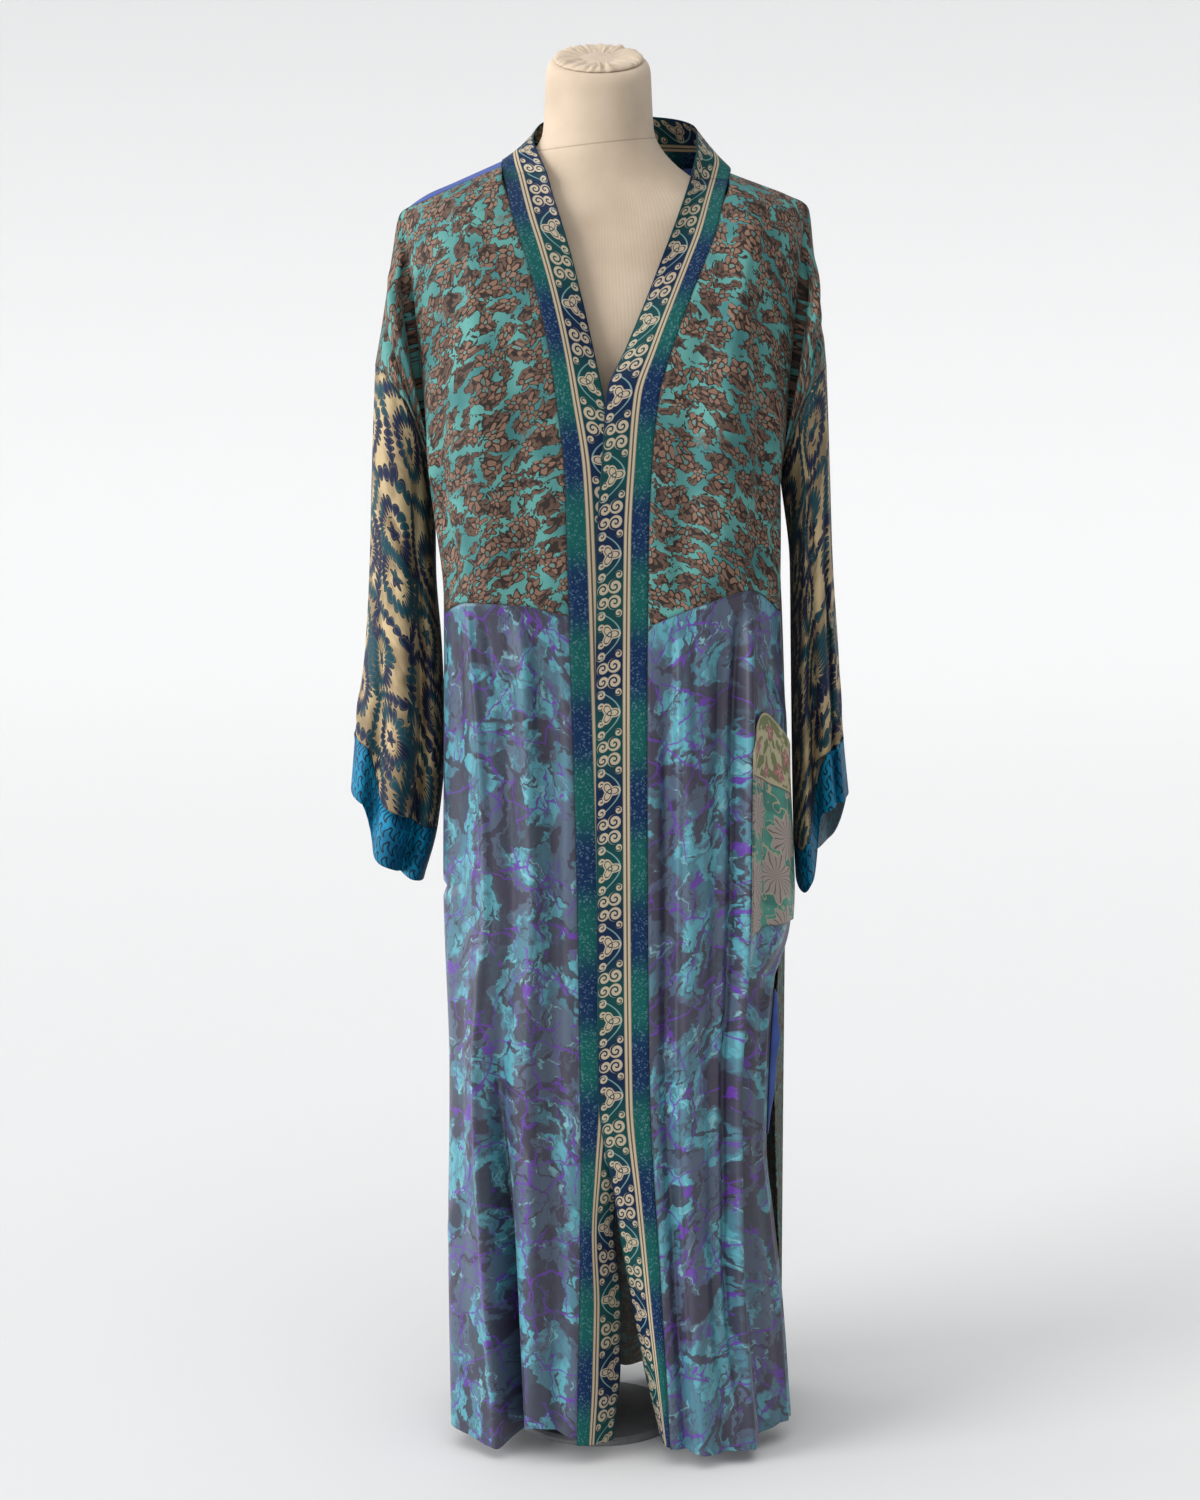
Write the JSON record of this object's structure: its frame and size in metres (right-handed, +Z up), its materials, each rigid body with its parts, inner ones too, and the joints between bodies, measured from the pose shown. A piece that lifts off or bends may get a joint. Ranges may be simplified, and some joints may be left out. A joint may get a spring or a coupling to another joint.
{
  "type": "kimono on a dress form",
  "caption": "Ankle-length open-fronted kimono robe with wide hanging sleeves, a trim running round neck and fronts and a patch pocket, draped over a limbless dress form on a pole and disc foot.",
  "frame": {"origin": "centre of the underside of the stand's disc foot, on the floor", "axes": "+Z runs up along the stand's pole and is the longest way; the open fronts face -Y; +X is towards the wearer's left sleeve"},
  "size_m": [0.555, 0.2989, 1.5526],
  "materials": {
    "paisley_cloth": "printed matte crepe",
    "yoke_cloth": "plain dyed silk",
    "marbled_cloth": "printed silk with a soft sheen",
    "floral_cloth": "printed matte crepe",
    "scroll_cloth": "printed crepe",
    "cuff_cloth": "printed silk",
    "trim_cloth": "woven ribbon with metallic yarn",
    "pocket_cloth": "printed silk, pieced from two cloths",
    "form_jersey": "plain knitted jersey",
    "pole_wood": "waxed turned wood",
    "foot_steel": "powder coated"
  },
  "bodies": {
    "root": {"front_upper_right": "paisley_cloth", "front_upper_left": "paisley_cloth", "back_upper": "yoke_cloth", "front_lower_right": "marbled_cloth", "front_lower_left": "marbled_cloth", "back_lower": "floral_cloth", "sleeve_right": "scroll_cloth", "sleeve_left": "scroll_cloth", "cuff_right": "cuff_cloth", "cuff_left": "cuff_cloth", "band_right": "trim_cloth", "band_left": "trim_cloth", "band_neck": "trim_cloth", "pocket_flap": "pocket_cloth", "pocket_bag": "pocket_cloth", "form_torso": "form_jersey", "neck_cap": "form_jersey", "stand_pole": "pole_wood", "stand_base": "foot_steel"}
  },
  "joints": []
}
